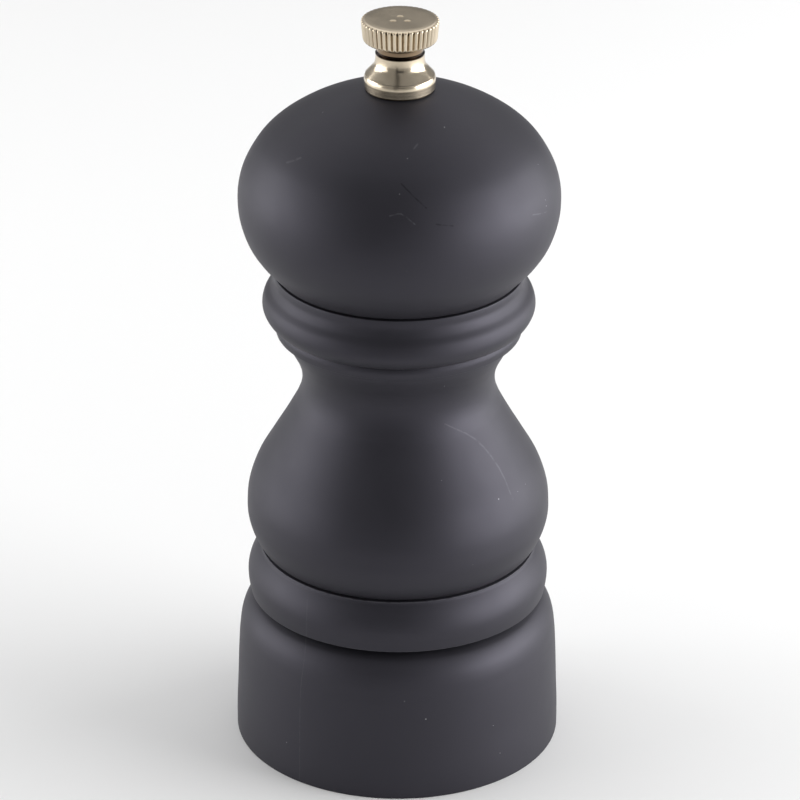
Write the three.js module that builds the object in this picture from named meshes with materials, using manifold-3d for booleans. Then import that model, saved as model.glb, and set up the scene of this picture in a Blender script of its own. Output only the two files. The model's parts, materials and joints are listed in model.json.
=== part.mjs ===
// A 130 mm pepper mill: turned body and head, square spindle, conical burrs and a fluted adjusting nut.
// Millimetres, +Z up. The origin is the centre of the foot, on the surface the mill stands on.

import * as THREE from 'three';
import { mergeVertices } from 'three/addons/utils/BufferGeometryUtils.js';
import Module from 'manifold-3d';

const wasm = await Module();
wasm.setup();

// ---- Driving dimensions -------------------------------------------------------------------------

const HEIGHT = 130;
const EDGE = 0.4; // broken edges
const SEAT_GAP = 0.05; // between flat faces that rest on each other
const TURNED_SEGMENTS = 40;
const RING_SEGMENTS = 32;
const SMALL_SEGMENTS = 16;

// Turned body
const FOOT_RADIUS = 27.7;
const FOOT_EDGE = 0.15;
const BODY_TOP = 85.7;
const BORE_RADIUS = 13;
const RECESS_RADIUS = 20.5;
const LEDGE_Z = 14;

// Turned head
const HEAD_BOTTOM = 86.2;
const HEAD_TOP = 117.9;
const TENON_RADIUS = 12.6;
const TENON_BOTTOM = 78;
const HEAD_BORE_RADIUS = 4;
const NUT_SEAT_RADIUS = 5.5;

// Glide ring between the body and the head
const GLIDE_INNER_RADIUS = 13.5;
const GLIDE_OUTER_RADIUS = 19.4;
const GLIDE_THICKNESS = 0.3;

// Adjusting nut and its washer
const NUT_BOTTOM = 118.1;
const NECK_RADIUS = 4.05;
const CAP_RADIUS = 6.35;
const CAP_BOTTOM = 126.3;
const FLUTES = 42;
const FLUTE_DEPTH = 0.28;
const THREAD_HOLE_RADIUS = 2.8;
const THREAD_HOLE_TOP = 127.6;
const NUT_WASHER_RADIUS = 5.2;
const NUT_WASHER_THICKNESS = 0.5;

// Spindle
const SPINDLE_SIDE = 5;
const SQUARE_HOLE = 5.6;
const JOURNAL_RADIUS = 2.45;
const GROOVE_RADIUS = 2;
const GROOVE_BOTTOM = 8.2;
const GROOVE_TOP = 9.2;
const SPINDLE_BOTTOM = 3.4;
const SQUARE_BOTTOM = 10.4;
const SQUARE_TOP = 116.6;
const SPINDLE_TOP = 126.2;

// Burrs
const BURR_TEETH = 12;
const TOOTHED_SEGMENTS = BURR_TEETH * 4;
const TOOTH_TWIST = 0.05; // radians per millimetre of height
const ROTOR_TOOTH = 0.9;
const ROTOR_BOTTOM = 10.5;
const ROTOR_TOP = 24.5;
const ROTOR_NECK_RADIUS = 5.4;
const ROTOR_CORE_RADIUS = 5;
const STATOR_TOOTH = 0.7;
const STATOR_BOTTOM = 10.6;
const STATOR_TEETH_TOP = 21;
const STATOR_TOP = 25;
const STATOR_MOUTH_RADIUS = 10.3;
const FLANGE_RADIUS = 19.6;
const FLANGE_TOP = 12.8;
const BARREL_RADIUS = 11.2;

// Clip and washer that hold the rotor up on the spindle
const CLIP_INNER_RADIUS = 2.3;
const CLIP_OUTER_RADIUS = 4.6;
const CLIP_BOTTOM = 8.35;
const CLIP_THICKNESS = 0.7;
const CLIP_HALF_GAP = Math.PI / 4;
const ROTOR_WASHER_RADIUS = 6;
const ROTOR_WASHER_BOTTOM = 9.4;
const ROTOR_WASHER_TOP = 10.2;

// Bracket, bar and their screws
const SHEET = 0.9;
const BRACKET_INNER_X = 11.5;
const BRACKET_WIDTH = 6.4;
const BRACKET_TOP = 43.9;
const BRACKET_BEND = 2.5;
const BRACKET_END_X = 19;
const BRACKET_EYE_RADIUS = 6.4;
const BRACKET_HOLE_RADIUS = 4;
const BRACKET_FOOT_TOP = 13.9;
const BAR_WIDTH = 9;
const BAR_THICKNESS = 1.1;
const BAR_END_X = 19.4;
const BAR_SHOULDER_X = 12.6;
const BAR_DROP_X = 9.4;
const BAR_END_Z = 9.3;
const BAR_CENTRE_Z = 5.2;
const BAR_HOLE_RADIUS = 4;
const BAR_SCREW = {
  shankRadius: 1.3, headRadius: 2.9, headHeight: 1.3, seat: 9.2, tip: 21.5,
  holeRadius: 1.65, holeTop: 22.5, places: [[-16, 0], [16, 0]],
};

// Drive plate
const PLATE_RADIUS = 11;
const PLATE_BOTTOM = 76.3;
const PLATE_TOP = 77.8;
const PLATE_SCREW = {
  shankRadius: 1, headRadius: 2.2, headHeight: 1.1, seat: 76.2, tip: 84.5,
  holeRadius: 1.35, holeTop: 85.4, places: [[0, -8], [0, 8]],
};

// Spring and its washer
const SPRING_RADIUS = 4.6;
const WIRE_RADIUS = 0.45;
const SPRING_TURNS = 6;
const STEPS_PER_TURN = 12;
const SPRING_BOTTOM = 24.7;
const SPRING_TOP = 42.2;
const SPRING_WASHER_INNER_RADIUS = 3.9;
const SPRING_WASHER_OUTER_RADIUS = 5.7;
const SPRING_WASHER_BOTTOM = 42.35;
const SPRING_WASHER_TOP = 42.85;

// ---- Materials ----------------------------------------------------------------------------------

const lacquer = { color: 0x2e2d30, roughness: 0.62, metalness: 0 };
const nickel = { color: 0xb9ab97, roughness: 0.3, metalness: 1 };
const steel = { color: 0x9a9b9d, roughness: 0.38, metalness: 1 };
const burrSteel = { color: 0x55565a, roughness: 0.5, metalness: 1 };
const nylon = { color: 0xd9d6cc, roughness: 0.55, metalness: 0 };
const blackNylon = { color: 0x141416, roughness: 0.6, metalness: 0 };

// ---- Solids -------------------------------------------------------------------------------------

// A geometry as a solid: equal vertices merged, empty triangles dropped.
function solid(geometry) {
  const bare = new THREE.BufferGeometry();
  bare.setAttribute('position', geometry.getAttribute('position'));
  bare.setIndex(geometry.index);
  const merged = mergeVertices(bare, 1e-4);
  const index = merged.index.array;
  const triVerts = [];
  for (let i = 0; i < index.length; i += 3) {
    const [a, b, c] = index.slice(i, i + 3);
    if (a !== b && b !== c && c !== a) {
      triVerts.push(a, b, c);
    }
  }
  return new wasm.Manifold(new wasm.Mesh({
    numProp: 3,
    vertProperties: new Float32Array(merged.getAttribute('position').array),
    triVerts: new Uint32Array(triVerts),
  }));
}

// A solid as a geometry that a mesh can show.
function geometryOf(body) {
  const { vertProperties, triVerts } = body.getMesh();
  const geometry = new THREE.BufferGeometry();
  geometry.setAttribute('position', new THREE.BufferAttribute(vertProperties, 3));
  geometry.setIndex(new THREE.BufferAttribute(triVerts, 1));
  geometry.computeVertexNormals();
  return geometry;
}

// An outline of [radius, height] points turned about Z. It runs up the outside and closes on itself.
function turned(outline, segments = TURNED_SEGMENTS) {
  const points = outline.map(([radius, z]) => new THREE.Vector2(radius, z));
  points.push(points[0].clone());
  return new THREE.LatheGeometry(points, segments).rotateX(Math.PI / 2);
}

// A smooth moulding through a few [radius, height] points.
function moulding(points, divisions) {
  const curve = new THREE.SplineCurve(points.map(([radius, z]) => new THREE.Vector2(radius, z)));
  return curve.getPoints(divisions).map((point) => [point.x, point.y]);
}

// An upright cylinder, for drilling and for shanks.
function rod(radius, bottom, top, x = 0, y = 0) {
  const geometry = new THREE.CylinderGeometry(radius, radius, top - bottom, SMALL_SEGMENTS);
  return geometry.rotateX(Math.PI / 2).translate(x, y, (bottom + top) / 2);
}

// A body with a round hole drilled between two heights at each [x, y] place.
function drilled(body, radius, bottom, top, places = [[0, 0]]) {
  return places.reduce((rest, [x, y]) => rest.subtract(solid(rod(radius, bottom, top, x, y))), body);
}

// A solid of revolution that reaches the axis, from [radius, height] points, bottom first.
function spun(outline, segments = SMALL_SEGMENTS) {
  const points = outline.map(([radius, z]) => new THREE.Vector2(radius, z));
  return new THREE.LatheGeometry(points, segments).rotateX(Math.PI / 2);
}

// An upright square bar or square hole on the axis.
function square(side, bottom, top) {
  return new THREE.BoxGeometry(side, side, top - bottom).translate(0, 0, (bottom + top) / 2);
}

// A flat ring.
function washer(innerRadius, outerRadius, bottom, top, segments = RING_SEGMENTS) {
  const outline = [[innerRadius, bottom], [outerRadius, bottom], [outerRadius, top], [innerRadius, top]];
  return turned(outline, segments);
}

// A side outline of [x, z] points as a strip of the given width, centred on Y = 0.
function strip(outline, width) {
  const shape = new THREE.Shape(outline.map(([x, z]) => new THREE.Vector2(x, z)));
  const geometry = new THREE.ExtrudeGeometry(shape, { depth: width, bevelEnabled: false });
  return geometry.rotateX(Math.PI / 2).translate(0, width / 2, 0);
}

// The right half of a side outline, with its mirror image on the left.
function bothSides(right) {
  return [...right, ...right.map(([x, z]) => [-x, z]).reverse()];
}

// Helical teeth pressed into part of a turned surface. A positive depth cuts towards the axis.
function cutTeeth(geometry, depth, twist, isCut) {
  const position = geometry.getAttribute('position');
  const point = new THREE.Vector3();
  for (let i = 0; i < position.count; i += 1) {
    point.fromBufferAttribute(position, i);
    const radius = Math.hypot(point.x, point.y);
    if (isCut(radius, point.z)) {
      const turn = Math.atan2(point.y, point.x) + twist * point.z;
      const cut = depth * (0.5 - 0.5 * Math.cos(BURR_TEETH * turn));
      point.multiply(new THREE.Vector3(1 - cut / radius, 1 - cut / radius, 1));
      position.setXYZ(i, point.x, point.y, point.z);
    }
  }
  return geometry;
}

const mill = new THREE.Group();

function add(name, geometry, material) {
  const mesh = new THREE.Mesh(geometry, new THREE.MeshStandardMaterial(material));
  mesh.name = name;
  mill.add(mesh);
}

// ---- Turned body --------------------------------------------------------------------------------

function bodyShell() {
  const base = moulding([
    [FOOT_RADIUS, FOOT_EDGE], [27.65, 5], [27.35, 14], [26.8, 21], [25.8, 23.5], [24.2, 25.3],
  ], 8);
  const cove = [[23.8, 25.8], [23.9, 26.5]];
  const lowerRing = moulding([[25.1, 26.9], [25.5, 29], [25.4, 31.2], [24.2, 33.7], [22.9, 35.1]], 6);
  const belly = moulding([
    [22.5, 35.6], [24.63, 38.5], [25.55, 42], [25.28, 46], [21.7, 54], [17.2, 62],
  ], 9);
  const neck = moulding([[16.2, 65], [16.3, 67.5], [17.2, 70], [18.5, 72.5], [19.3, 74.3]], 6);
  const bead = [[20.7, 75], [20.95, 75.6], [20.9, 76.6]];
  const upperRing = moulding([[20.6, 77], [22.2, 78.2], [22.75, 79.8], [22, 82], [20.75, 84.2]], 6);
  const shell = solid(turned([
    [FOOT_RADIUS - FOOT_EDGE, 0],
    ...base,
    ...cove,
    ...lowerRing,
    [22.3, 35.3],
    ...belly,
    ...neck,
    ...bead,
    ...upperRing,
    [20.9, 85.2],
    [20.6, BODY_TOP],
    [BORE_RADIUS + EDGE, BODY_TOP],
    [BORE_RADIUS, BODY_TOP - EDGE],
    [BORE_RADIUS, LEDGE_Z],
    [RECESS_RADIUS, LEDGE_Z],
    [RECESS_RADIUS, EDGE],
    [RECESS_RADIUS + EDGE, 0],
  ]));
  const { holeRadius, holeTop, places } = BAR_SCREW;
  return geometryOf(drilled(shell, holeRadius, LEDGE_Z - 1, holeTop, places));
}

// ---- Turned head --------------------------------------------------------------------------------

function headShell() {
  const dome = moulding([
    [20.8, 86.5], [23.45, 89], [25.25, 92], [26.45, 96], [26.66, 99], [25.65, 104], [23.4, 108], [18.9, 112],
    [13.4, 115], [8.9, 116.9], [6.2, HEAD_TOP],
  ], 16);
  const shell = solid(turned([
    [20.4, HEAD_BOTTOM],
    ...dome,
    [NUT_SEAT_RADIUS, HEAD_TOP],
    [NUT_SEAT_RADIUS, HEAD_TOP - EDGE],
    [HEAD_BORE_RADIUS, HEAD_TOP - EDGE],
    [HEAD_BORE_RADIUS, TENON_BOTTOM],
    [TENON_RADIUS - EDGE, TENON_BOTTOM],
    [TENON_RADIUS, TENON_BOTTOM + EDGE],
    [TENON_RADIUS, HEAD_BOTTOM],
  ]));
  const { holeRadius, holeTop, places } = PLATE_SCREW;
  return geometryOf(drilled(shell, holeRadius, TENON_BOTTOM - 1, holeTop, places));
}

// ---- Adjusting nut ------------------------------------------------------------------------------

function adjustingNut() {
  const bell = moulding([
    [5.8, 119.1], [5.85, 120], [5, 121.4], [4.25, 122.5], [NECK_RADIUS, 124],
  ], 8);
  const stem = solid(turned([
    [THREAD_HOLE_RADIUS, NUT_BOTTOM],
    [5.4, NUT_BOTTOM],
    ...bell,
    [NECK_RADIUS, CAP_BOTTOM + 1],
    [THREAD_HOLE_RADIUS, CAP_BOTTOM + 1],
  ]));
  const envelope = solid(spun([
    [0, CAP_BOTTOM], [5.4, CAP_BOTTOM], [6.1, 126.9], [CAP_RADIUS, 129.3], [6.05, HEIGHT], [0, HEIGHT],
  ], FLUTES));
  const ridges = new THREE.Shape(Array.from({ length: FLUTES * 2 }, (_, i) => {
    const angle = Math.PI * i / FLUTES;
    const radius = CAP_RADIUS - (i % 2) * FLUTE_DEPTH;
    return new THREE.Vector2(radius * Math.sin(angle), radius * Math.cos(angle));
  }));
  const fluted = new THREE.ExtrudeGeometry(ridges, { depth: HEIGHT - CAP_BOTTOM + 2, bevelEnabled: false });
  const cap = solid(fluted.translate(0, 0, CAP_BOTTOM - 1)).intersect(envelope);
  return geometryOf(drilled(stem.add(cap), THREAD_HOLE_RADIUS, NUT_BOTTOM - 1, THREAD_HOLE_TOP));
}

// ---- Spindle ------------------------------------------------------------------------------------

function spindle() {
  const journal = solid(spun([
    [0, SPINDLE_BOTTOM], [JOURNAL_RADIUS - EDGE, SPINDLE_BOTTOM], [JOURNAL_RADIUS, SPINDLE_BOTTOM + EDGE],
    [JOURNAL_RADIUS, GROOVE_BOTTOM], [GROOVE_RADIUS, GROOVE_BOTTOM], [GROOVE_RADIUS, GROOVE_TOP],
    [JOURNAL_RADIUS, GROOVE_TOP], [JOURNAL_RADIUS, SQUARE_BOTTOM + 1], [0, SQUARE_BOTTOM + 1],
  ]));
  const thread = solid(spun([
    [0, SQUARE_TOP - 1], [JOURNAL_RADIUS, SQUARE_TOP - 1], [JOURNAL_RADIUS, SPINDLE_TOP - EDGE],
    [JOURNAL_RADIUS - EDGE, SPINDLE_TOP], [0, SPINDLE_TOP],
  ]));
  return geometryOf(solid(square(SPINDLE_SIDE, SQUARE_BOTTOM, SQUARE_TOP)).add(journal).add(thread));
}

// ---- Burrs --------------------------------------------------------------------------------------

function rotorBurr() {
  const cone = turned([
    [3.4, ROTOR_BOTTOM], [9, ROTOR_BOTTOM], [9.2, 11.2], [8.9, 12.5], [8.5, 14], [7.7, 15.8], [6.9, 17.6],
    [6.1, 19.4], [ROTOR_NECK_RADIUS, 21.2], [ROTOR_NECK_RADIUS, ROTOR_TOP], [3.4, ROTOR_TOP],
  ], TOOTHED_SEGMENTS);
  const isTooth = (radius, z) => radius > ROTOR_NECK_RADIUS + 0.5 && z > ROTOR_BOTTOM;
  const toothed = solid(cutTeeth(cone, ROTOR_TOOTH, TOOTH_TWIST, isTooth));
  const core = solid(rod(ROTOR_CORE_RADIUS, ROTOR_BOTTOM, ROTOR_TOP));
  const hole = solid(square(SQUARE_HOLE, ROTOR_BOTTOM - 1, ROTOR_TOP + 1));
  return geometryOf(toothed.add(core).subtract(hole));
}

function statorBurr() {
  const ring = turned([
    [FLANGE_RADIUS, STATOR_BOTTOM],
    [FLANGE_RADIUS, FLANGE_TOP],
    [BARREL_RADIUS, FLANGE_TOP],
    [BARREL_RADIUS, STATOR_TOP],
    [STATOR_MOUTH_RADIUS, STATOR_TOP],
    [9.8, 22], [9.2, 19], [8.9, 16], [9.2, 13.5], [9.55, 12], [9.8, STATOR_BOTTOM],
  ], TOOTHED_SEGMENTS);
  const isTooth = (radius, z) => radius < STATOR_MOUTH_RADIUS && z < STATOR_TEETH_TOP;
  const toothed = solid(cutTeeth(ring, -STATOR_TOOTH, -TOOTH_TWIST, isTooth));
  const { holeRadius, places } = BAR_SCREW;
  return geometryOf(drilled(toothed, holeRadius, STATOR_BOTTOM - 1, FLANGE_TOP + 1, places));
}

// ---- Bracket and bottom bar ---------------------------------------------------------------------

function guideBracket() {
  const foot = BRACKET_FOOT_TOP;
  const inner = BRACKET_INNER_X;
  const outer = inner + SHEET;
  const bendX = inner - BRACKET_BEND;
  const outline = bothSides([
    [bendX, BRACKET_TOP], [outer, BRACKET_TOP - BRACKET_BEND], [outer, foot],
    [BRACKET_END_X, foot], [BRACKET_END_X, foot - SHEET],
    [inner, foot - SHEET], [inner, BRACKET_TOP - SHEET - BRACKET_BEND], [bendX, BRACKET_TOP - SHEET],
  ]);
  const eye = solid(rod(BRACKET_EYE_RADIUS, BRACKET_TOP - SHEET, BRACKET_TOP));
  const strap = solid(strip(outline, BRACKET_WIDTH)).add(eye);
  const guided = drilled(strap, BRACKET_HOLE_RADIUS, BRACKET_TOP - 2 * SHEET, BRACKET_TOP + SHEET);
  const { holeRadius, places } = BAR_SCREW;
  return geometryOf(drilled(guided, holeRadius, foot - 2 * SHEET, foot + SHEET, places));
}

function bottomBar() {
  const rightUnder = [[BAR_DROP_X, BAR_CENTRE_Z], [BAR_SHOULDER_X, BAR_END_Z], [BAR_END_X, BAR_END_Z]];
  const rightTop = rightUnder.map(([x, z]) => [x, z + BAR_THICKNESS]).reverse();
  const bar = solid(strip(bothSides([...rightUnder, ...rightTop]), BAR_WIDTH));
  const holed = drilled(bar, BAR_HOLE_RADIUS, BAR_CENTRE_Z - 1, BAR_CENTRE_Z + BAR_THICKNESS + 1);
  const { holeRadius, places } = BAR_SCREW;
  return geometryOf(drilled(holed, holeRadius, BAR_END_Z - 1, BAR_END_Z + BAR_THICKNESS + 1, places));
}

function barBush() {
  return turned([[2.8, 4.6], [3.7, 4.6], [3.7, 6.4], [5.2, 6.4], [5.2, 7], [2.8, 7]], RING_SEGMENTS);
}

// A pan-head wood screw, head down.
function screw({ shankRadius, headRadius, headHeight, seat, tip }, [x, y]) {
  return spun([
    [0, seat - headHeight], [headRadius * 0.7, seat - headHeight], [headRadius, seat - headHeight * 0.4],
    [headRadius, seat], [shankRadius, seat], [shankRadius, tip - 2], [0, tip],
  ]).translate(x, y, 0);
}

// ---- Rings and washers --------------------------------------------------------------------------

function glideRing() {
  const bottom = BODY_TOP + SEAT_GAP;
  return washer(GLIDE_INNER_RADIUS, GLIDE_OUTER_RADIUS, bottom, bottom + GLIDE_THICKNESS, TURNED_SEGMENTS);
}

function nutWasher() {
  const top = NUT_BOTTOM - SEAT_GAP;
  return washer(THREAD_HOLE_RADIUS + 0.1, NUT_WASHER_RADIUS, top - NUT_WASHER_THICKNESS, top);
}

function rotorWasher() {
  return washer(THREAD_HOLE_RADIUS, ROTOR_WASHER_RADIUS, ROTOR_WASHER_BOTTOM, ROTOR_WASHER_TOP);
}

function springWasher() {
  const [inner, outer] = [SPRING_WASHER_INNER_RADIUS, SPRING_WASHER_OUTER_RADIUS];
  return washer(inner, outer, SPRING_WASHER_BOTTOM, SPRING_WASHER_TOP);
}

// ---- Drive plate, clip and spring ---------------------------------------------------------------

function drivePlate() {
  const outline = [
    [0, PLATE_BOTTOM], [PLATE_RADIUS, PLATE_BOTTOM], [PLATE_RADIUS, PLATE_TOP], [0, PLATE_TOP],
  ];
  const disc = solid(spun(outline, RING_SEGMENTS));
  const holed = drilled(disc, PLATE_SCREW.holeRadius, PLATE_BOTTOM - 1, PLATE_TOP + 1, PLATE_SCREW.places);
  return geometryOf(holed.subtract(solid(square(SQUARE_HOLE, PLATE_BOTTOM - 1, PLATE_TOP + 1))));
}

function retainingClip() {
  const [start, end] = [CLIP_HALF_GAP, 2 * Math.PI - CLIP_HALF_GAP];
  const shape = new THREE.Shape();
  shape.absarc(0, 0, CLIP_OUTER_RADIUS, start, end, false);
  shape.absarc(0, 0, CLIP_INNER_RADIUS, end, start, true);
  const options = { depth: CLIP_THICKNESS, bevelEnabled: false, curveSegments: 8 };
  return new THREE.ExtrudeGeometry(shape, options).translate(0, 0, CLIP_BOTTOM);
}

class Coil extends THREE.Curve {
  getPoint(t, target = new THREE.Vector3()) {
    const angle = 2 * Math.PI * SPRING_TURNS * t;
    const z = THREE.MathUtils.lerp(SPRING_BOTTOM + WIRE_RADIUS, SPRING_TOP - WIRE_RADIUS, t);
    return target.set(SPRING_RADIUS * Math.cos(angle), SPRING_RADIUS * Math.sin(angle), z);
  }
}

function grinderSpring() {
  const wire = new THREE.Shape();
  wire.absarc(0, 0, WIRE_RADIUS, 0, 2 * Math.PI, false);
  return new THREE.ExtrudeGeometry(wire, {
    extrudePath: new Coil(), steps: SPRING_TURNS * STEPS_PER_TURN, curveSegments: 3, bevelEnabled: false,
  });
}

// ---- Assembly -----------------------------------------------------------------------------------

add('body_shell', bodyShell(), lacquer);
add('head_shell', headShell(), lacquer);
add('glide_ring', glideRing(), blackNylon);
add('adjusting_nut', adjustingNut(), nickel);
add('nut_washer', nutWasher(), steel);
add('spindle', spindle(), steel);
add('rotor_burr', rotorBurr(), burrSteel);
add('rotor_washer', rotorWasher(), steel);
add('retaining_clip', retainingClip(), steel);
add('stator_burr', statorBurr(), burrSteel);
add('guide_bracket', guideBracket(), steel);
add('spring_washer', springWasher(), steel);
add('grinder_spring', grinderSpring(), steel);
add('bottom_bar', bottomBar(), steel);
add('bar_bush', barBush(), nylon);
add('drive_plate', drivePlate(), steel);
BAR_SCREW.places.forEach((place, i) => add(`bar_screw_${i + 1}`, screw(BAR_SCREW, place), steel));
PLATE_SCREW.places.forEach((place, i) => add(`plate_screw_${i + 1}`, screw(PLATE_SCREW, place), steel));

export default mill;
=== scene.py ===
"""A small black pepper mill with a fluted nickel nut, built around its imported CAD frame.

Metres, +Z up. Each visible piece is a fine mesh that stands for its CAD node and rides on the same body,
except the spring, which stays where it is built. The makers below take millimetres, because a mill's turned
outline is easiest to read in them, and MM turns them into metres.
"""

import json
import math

import bmesh
import bpy
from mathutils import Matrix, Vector


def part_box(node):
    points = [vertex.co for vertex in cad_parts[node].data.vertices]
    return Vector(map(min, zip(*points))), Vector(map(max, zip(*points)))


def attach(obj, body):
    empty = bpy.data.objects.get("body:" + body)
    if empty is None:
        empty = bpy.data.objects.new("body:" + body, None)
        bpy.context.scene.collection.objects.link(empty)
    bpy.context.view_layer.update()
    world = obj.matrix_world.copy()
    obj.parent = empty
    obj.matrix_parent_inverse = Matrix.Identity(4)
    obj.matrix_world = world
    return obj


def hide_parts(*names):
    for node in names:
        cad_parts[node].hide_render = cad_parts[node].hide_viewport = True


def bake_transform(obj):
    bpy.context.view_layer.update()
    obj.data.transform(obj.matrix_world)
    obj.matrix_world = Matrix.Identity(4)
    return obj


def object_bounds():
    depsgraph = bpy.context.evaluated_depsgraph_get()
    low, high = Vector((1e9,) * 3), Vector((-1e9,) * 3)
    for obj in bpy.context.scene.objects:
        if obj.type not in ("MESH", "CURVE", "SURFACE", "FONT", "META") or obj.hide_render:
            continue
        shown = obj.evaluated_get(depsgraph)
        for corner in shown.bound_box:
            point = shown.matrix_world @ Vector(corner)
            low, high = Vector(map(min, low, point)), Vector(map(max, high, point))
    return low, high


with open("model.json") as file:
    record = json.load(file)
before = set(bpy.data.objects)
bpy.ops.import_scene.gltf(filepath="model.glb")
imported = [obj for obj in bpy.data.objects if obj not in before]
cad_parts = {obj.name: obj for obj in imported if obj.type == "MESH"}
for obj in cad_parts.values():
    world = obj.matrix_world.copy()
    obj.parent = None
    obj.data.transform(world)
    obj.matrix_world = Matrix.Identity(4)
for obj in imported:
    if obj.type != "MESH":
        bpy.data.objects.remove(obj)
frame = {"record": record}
CAD_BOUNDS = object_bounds()

MM = 0.001
TINY = 1e-6
TAU = 2 * math.pi
BODY_OF = {node: body for body, nodes in frame["record"]["behaviour"]["bodies"].items() for node in nodes}


def heights(node):
    """The lowest and the highest z of a CAD node, in millimetres."""
    low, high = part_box(node)
    return round(low.z / MM, 3), round(high.z / MM, 3)


def reach(node, axis=0):
    """How far a CAD node reaches from the mill's axis along +X, or along +Y with axis 1, in millimetres."""
    return round(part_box(node)[1][axis] / MM, 3)


def middle(node):
    """The (x, y) of the middle of a CAD node's box, in millimetres."""
    low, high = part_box(node)
    centre = (low + high) / 2
    return round(centre.x / MM, 3), round(centre.y / MM, 3)


# ---- Outlines: lists of (x, z) points in millimetres ---------------------------------------------


def smooth(points, per_span=8):
    """A centripetal Catmull-Rom curve through the points."""
    points = [Vector(p) for p in points]
    padded = [2 * points[0] - points[1], *points, 2 * points[-1] - points[-2]]
    curve = []
    for p0, p1, p2, p3 in zip(padded, padded[1:], padded[2:], padded[3:]):
        t1 = math.sqrt((p1 - p0).length)
        t2 = t1 + math.sqrt((p2 - p1).length)
        t3 = t2 + math.sqrt((p3 - p2).length)
        for step in range(per_span):
            t = t1 + (t2 - t1) * step / per_span
            a1 = p0.lerp(p1, t / t1)
            a2 = p1.lerp(p2, (t - t1) / (t2 - t1))
            a3 = p2.lerp(p3, (t - t2) / (t3 - t2))
            b1 = a1.lerp(a2, t / t2)
            b2 = a2.lerp(a3, (t - t1) / (t3 - t1))
            curve.append(b1.lerp(b2, (t - t1) / (t2 - t1)))
    curve.append(points[-1])
    return [(p.x, p.y) for p in curve]


def rounded(corners, steps=4, closed=True):
    """A polygon whose corners (x, z, radius) are rounded. A corner without a radius stays sharp."""
    outline = []
    count = len(corners)
    for i, corner in enumerate(corners):
        point = Vector(corner[:2])
        radius = corner[2] if len(corner) > 2 else 0
        if not radius or (not closed and i in (0, count - 1)):
            outline.append(tuple(point))
            continue
        back = (Vector(corners[i - 1][:2]) - point).normalized()
        ahead = (Vector(corners[(i + 1) % count][:2]) - point).normalized()
        half = back.angle(ahead) / 2
        setback = radius / math.tan(half)
        centre = point + (back + ahead).normalized() * radius / math.sin(half)
        start = point + back * setback - centre
        end = point + ahead * setback - centre
        turn = start.angle_signed(end)
        for step in range(steps + 1):
            angle = -turn * step / steps
            c, s = math.cos(angle), math.sin(angle)
            outline.append((centre.x + start.x * c - start.y * s, centre.y + start.x * s + start.y * c))
    return outline


# ---- Meshes --------------------------------------------------------------------------------------


def add_object(name, bm, sharp_angle=32):
    """A bmesh in millimetres as a smooth-shaded object in metres, whose edges past the angle stay sharp."""
    bmesh.ops.scale(bm, vec=(MM, MM, MM), verts=bm.verts)
    bmesh.ops.recalc_face_normals(bm, faces=bm.faces)
    mesh = bpy.data.meshes.new(name)
    bm.to_mesh(mesh)
    bm.free()
    mesh.shade_smooth()
    mesh.set_sharp_from_angle(angle=math.radians(sharp_angle))
    piece = bpy.data.objects.new(name, mesh)
    bpy.context.scene.collection.objects.link(piece)
    return piece


def revolve(name, outline, segments=96, shape=None, sharp_angle=32):
    """Turns an outline about Z. It closes on itself, or starts and ends on the axis.
    shape(radius, z, angle) may change a point's radius, for flutes, teeth and threads."""
    bm = bmesh.new()
    on_axis = outline[0][0] < TINY
    rings = []
    for radius, z in outline:
        if radius < TINY:
            rings.append([bm.verts.new((0, 0, z))])
            continue
        ring = []
        for i in range(segments):
            angle = TAU * i / segments
            r = shape(radius, z, angle) if shape else radius
            ring.append(bm.verts.new((r * math.cos(angle), r * math.sin(angle), z)))
        rings.append(ring)
    pairs = list(zip(rings, rings[1:]))
    if not on_axis:
        pairs.append((rings[-1], rings[0]))
    for low, high in pairs:
        for i in range(segments):
            j = (i + 1) % segments
            face = [low[i % len(low)], low[j % len(low)], high[j % len(high)], high[i % len(high)]]
            bm.faces.new(dict.fromkeys(face))
    return add_object(name, bm, sharp_angle)


def sweep(name, frames, section, sharp_angle=32):
    """Carries a closed section (u, v) along frames of (centre, u axis, v axis, extra), and caps both ends.
    extra is how much further out along u each side of the section stands there."""
    bm = bmesh.new()
    rings = []
    for centre, u_axis, v_axis, extra in frames:
        ring = []
        for u, v in section:
            ring.append(bm.verts.new(centre + u_axis * (u + math.copysign(extra, u)) + v_axis * v))
        rings.append(ring)
    count = len(section)
    for low, high in zip(rings, rings[1:]):
        for i in range(count):
            j = (i + 1) % count
            bm.faces.new((low[i], low[j], high[j], high[i]))
    bm.faces.new(rings[0])
    bm.faces.new(rings[-1])
    return add_object(name, bm, sharp_angle)


def extrude(name, outline, low, high, bevel=0.0, sharp_angle=32):
    """A flat (x, y) outline as a plate from low to high, with its rims bevelled."""
    bm = bmesh.new()
    bottom = bm.faces.new([bm.verts.new((x, y, low)) for x, y in outline])
    result = bmesh.ops.extrude_face_region(bm, geom=[bottom])
    top = [v for v in result["geom"] if isinstance(v, bmesh.types.BMVert)]
    bmesh.ops.translate(bm, vec=(0, 0, high - low), verts=top)
    if bevel:
        rims = [e for e in bm.edges if abs(e.verts[0].co.z - e.verts[1].co.z) < TINY]
        bmesh.ops.bevel(bm, geom=rims, offset=bevel, segments=2, profile=0.6, affect="EDGES")
    return add_object(name, bm, sharp_angle)


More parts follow.
